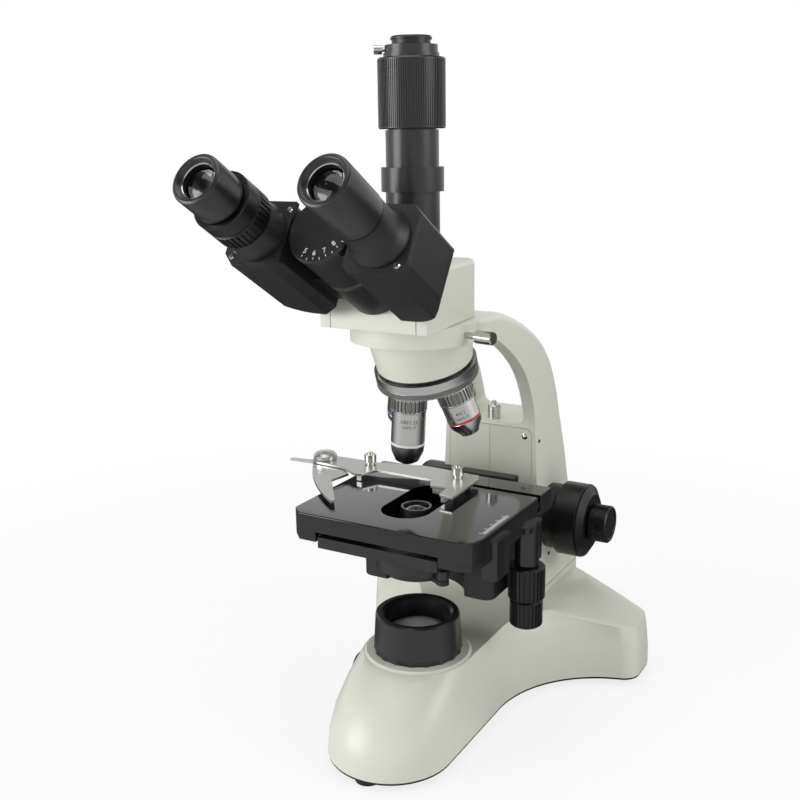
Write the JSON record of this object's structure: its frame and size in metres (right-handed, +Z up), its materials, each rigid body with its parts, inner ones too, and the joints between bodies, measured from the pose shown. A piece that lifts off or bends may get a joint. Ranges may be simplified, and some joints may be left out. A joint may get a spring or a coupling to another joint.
{
  "type": "trinocular microscope",
  "caption": "Upright laboratory microscope with inclined twin eyepieces, upright photo tube, turning nosepiece, mechanical stage, condenser and lamp in a splayed cast base.",
  "frame": {"origin": "on the table, under the middle of the object's outline", "axes": "+Z up, +X to the user's right, +Y away from the user; the eyepieces lean towards -Y"},
  "size_m": [0.2352, 0.3532, 0.45],
  "materials": {
    "cream_paint": "fine satin paint on cast aluminium",
    "plate_black": "matt black paint on sheet steel",
    "foot_rubber": "matt black rubber",
    "black_anodised": "black anodised, satin",
    "lens_glass": "clear polished glass",
    "lamp_ceramic": "glazed white ceramic",
    "lamp_glass": "clear bulb glass",
    "rocker_black": "black moulded plastic",
    "knob_black": "moulded black plastic, satin",
    "cream_cover": "satin paint on sheet steel",
    "nickel": "nickel plated, polished",
    "steel": "machined steel",
    "black_paint": "satin black paint on cast aluminium",
    "stage_black": "half-gloss black lacquer on aluminium",
    "satin_nickel": "satin nickel plate",
    "filter_blue": "blue tinted glass",
    "turret_chrome": "chrome plated, with a knurled band",
    "objective_chrome": "satin chrome barrel with dark lower cone",
    "ring_colours": "enamel rings: white, red, yellow and blue"
  },
  "bodies": {
    "stand": {"base_casting": "cream_paint", "base_cover_plate": "plate_black", "rubber_feet": "foot_rubber", "illuminator_collar": "black_anodised", "field_lens": "lens_glass", "lamp_holder": "lamp_ceramic", "lamp_bulb": "lamp_glass", "rear_panel": "rocker_black", "arm_casting": "cream_paint", "column_cover": "cream_cover", "column_screws": "nickel", "column_rails": "steel", "focus_flanges": "black_paint", "nose_housing": "cream_paint", "nose_bearing": "black_paint"},
    "power_rocker": {"switch_rocker": "rocker_black"},
    "brightness_knob": {"brightness_dial": "knob_black"},
    "coarse_focus": {"coarse_knobs": "knob_black", "coarse_shaft": "steel"},
    "fine_focus": {"fine_knobs": "knob_black"},
    "stage_lift": {"stage_carriage": "steel", "stage_bracket": "black_paint", "stage_base_plate": "black_paint"},
    "stage": {"stage_plate": "stage_black"},
    "y_drive": {"y_drive_knob": "knob_black", "y_drive_shaft": "steel"},
    "x_drive": {"x_drive_knob": "knob_black"},
    "slide_carrier": {"slide_holder": "satin_nickel", "holder_screws": "nickel"},
    "slide_finger": {"holder_finger": "satin_nickel"},
    "condenser": {"condenser_body": "black_anodised", "condenser_lens": "lens_glass"},
    "iris": {"iris_lever": "nickel"},
    "filter_arm": {"filter_holder": "black_paint", "filter_glass": "filter_blue"},
    "nosepiece": {"nose_turret": "turret_chrome", "objective_100x": "objective_chrome", "objective_4x": "objective_chrome", "objective_10x": "objective_chrome", "objective_40x": "objective_chrome", "objective_rings": "ring_colours"},
    "head_lock": {"head_lock_screw": "nickel"},
    "head": {"head_body": "cream_paint", "head_fittings": "steel", "scale_dial": "black_paint", "photo_tube": "black_anodised", "adapter_screw": "nickel"},
    "left_prism": {"prism_box_left": "black_paint", "plate_screws_left": "nickel", "eye_tube_left": "black_anodised"},
    "right_prism": {"prism_box_right": "black_paint", "plate_screws_right": "nickel", "eye_tube_right": "black_anodised"},
    "diopter": {"diopter_ring": "knob_black"},
    "left_eyepiece": {"eyepiece_left": "black_anodised", "eye_lens_left": "lens_glass"},
    "right_eyepiece": {"eyepiece_right": "black_anodised", "eye_lens_right": "lens_glass"},
    "adapter_ring": {"adapter_focus_ring": "knob_black"},
    "port_cap": {"dust_cap": "knob_black"}
  },
  "joints": [
    {"name": "stage_height", "type": "slide", "parent": "stand", "child": "stage_lift", "axis": [0, 0, 1], "range_m": [-0.008, 0.019]},
    {"name": "coarse_focus_turn", "type": "hinge", "parent": "stand", "child": "coarse_focus", "pos_m": [0.00537, 0.11957, 0.117], "axis": [1, 0, 0], "range_deg": [-137.1, 58.3]},
    {"name": "fine_focus_turn", "type": "hinge", "parent": "stand", "child": "fine_focus", "pos_m": [0.00537, 0.11957, 0.117], "axis": [1, 0, 0], "continuous": true},
    {"name": "stage_forward", "type": "slide", "parent": "stage_lift", "child": "stage", "axis": [0, 1, 0], "range_m": [-0.028, 0.003]},
    {"name": "y_drive_turn", "type": "hinge", "parent": "stage", "child": "y_drive", "pos_m": [0.06737, 0.01957, 0.13], "axis": [0, 0, 1], "range_deg": [-321.9, 35.4]},
    {"name": "slide_across", "type": "slide", "parent": "stage", "child": "slide_carrier", "axis": [1, 0, 0], "range_m": [-0.008, 0.06]},
    {"name": "x_drive_turn", "type": "hinge", "parent": "stage", "child": "x_drive", "pos_m": [0.06737, 0.01957, 0.09], "axis": [0, 0, 1], "range_deg": [-58.3, 430.7]},
    {"name": "finger_swing", "type": "hinge", "parent": "slide_carrier", "child": "slide_finger", "pos_m": [-0.09063, 0.02057, 0.167], "axis": [0, 0, 1], "range_deg": [-35, 0], "stiffness_Nm_per_rad": 0.05, "springref_deg": 17.19},
    {"name": "condenser_height", "type": "slide", "parent": "stage_lift", "child": "condenser", "axis": [0, 0, 1], "range_m": [-0.012, 0]},
    {"name": "iris_turn", "type": "hinge", "parent": "condenser", "child": "iris", "pos_m": [0.00537, -0.01743, 0.1265], "axis": [0, 0, 1], "range_deg": [-16, 24]},
    {"name": "filter_swing", "type": "hinge", "parent": "condenser", "child": "filter_arm", "pos_m": [0.03265, -0.03318, 0.119], "axis": [0, 0, 1], "range_deg": [0, 75]},
    {"name": "nosepiece_turn", "type": "hinge", "parent": "stand", "child": "nosepiece", "pos_m": [0.00537, -0.00403, 0.2544], "axis": [0, -0.309, 0.9511], "continuous": true},
    {"name": "head_lock_turn", "type": "hinge", "parent": "stand", "child": "head_lock", "pos_m": [0.04969, -0.02524, 0.278], "axis": [0.9848, -0.1736, 0], "range_deg": [-90, 90]},
    {"name": "head_turn", "type": "hinge", "parent": "stand", "child": "head", "pos_m": [0.00537, -0.01743, 0.284], "axis": [0, 0, 1], "range_deg": [-180, 180]},
    {"name": "right_prism_tilt", "type": "hinge", "parent": "head", "child": "right_prism", "pos_m": [0.00537, -0.11773, 0.347], "axis": [0, -0.848, 0.5299], "range_deg": [0, 48]},
    {"name": "left_prism_tilt", "type": "hinge", "parent": "head", "child": "left_prism", "pos_m": [0.00537, -0.11773, 0.347], "axis": [0, -0.848, 0.5299], "range_deg": [-48, 0]},
    {"name": "diopter_turn", "type": "hinge", "parent": "left_prism", "child": "diopter", "pos_m": [-0.03263, -0.14163, 0.35781], "axis": [0, -0.848, 0.5299], "range_deg": [-150, 150]},
    {"name": "left_eyepiece_draw", "type": "slide", "parent": "left_prism", "child": "left_eyepiece", "axis": [0, -0.848, 0.5299], "range_m": [0, 0.03]},
    {"name": "right_eyepiece_draw", "type": "slide", "parent": "right_prism", "child": "right_eyepiece", "axis": [0, -0.848, 0.5299], "range_m": [0, 0.03]},
    {"name": "adapter_focus_turn", "type": "hinge", "parent": "head", "child": "adapter_ring", "pos_m": [0.00537, -0.01743, 0.419], "axis": [0, 0, 1], "range_deg": [-170, 170]},
    {"name": "dust_cap_lift", "type": "slide", "parent": "head", "child": "port_cap", "axis": [0, 0, 1], "range_m": [0, 0.03]},
    {"name": "power_rocker_tip", "type": "hinge", "parent": "stand", "child": "power_rocker", "pos_m": [0.02337, 0.16957, 0.03], "axis": [0, 0, 1], "range_deg": [-10, 10]},
    {"name": "brightness_turn", "type": "hinge", "parent": "stand", "child": "brightness_knob", "pos_m": [-0.03663, -0.01143, 0.032], "axis": [-1, 0, 0], "range_deg": [0, 270]}
  ],
  "couplings": [
    {"joint": "coarse_focus_turn", "follows": "stage_height", "rad_per_m": -125},
    {"joint": "y_drive_turn", "follows": "stage_forward", "rad_per_m": 200},
    {"joint": "x_drive_turn", "follows": "slide_across", "rad_per_m": 125},
    {"joint": "left_prism_tilt", "follows": "right_prism_tilt", "ratio": -1}
  ]
}
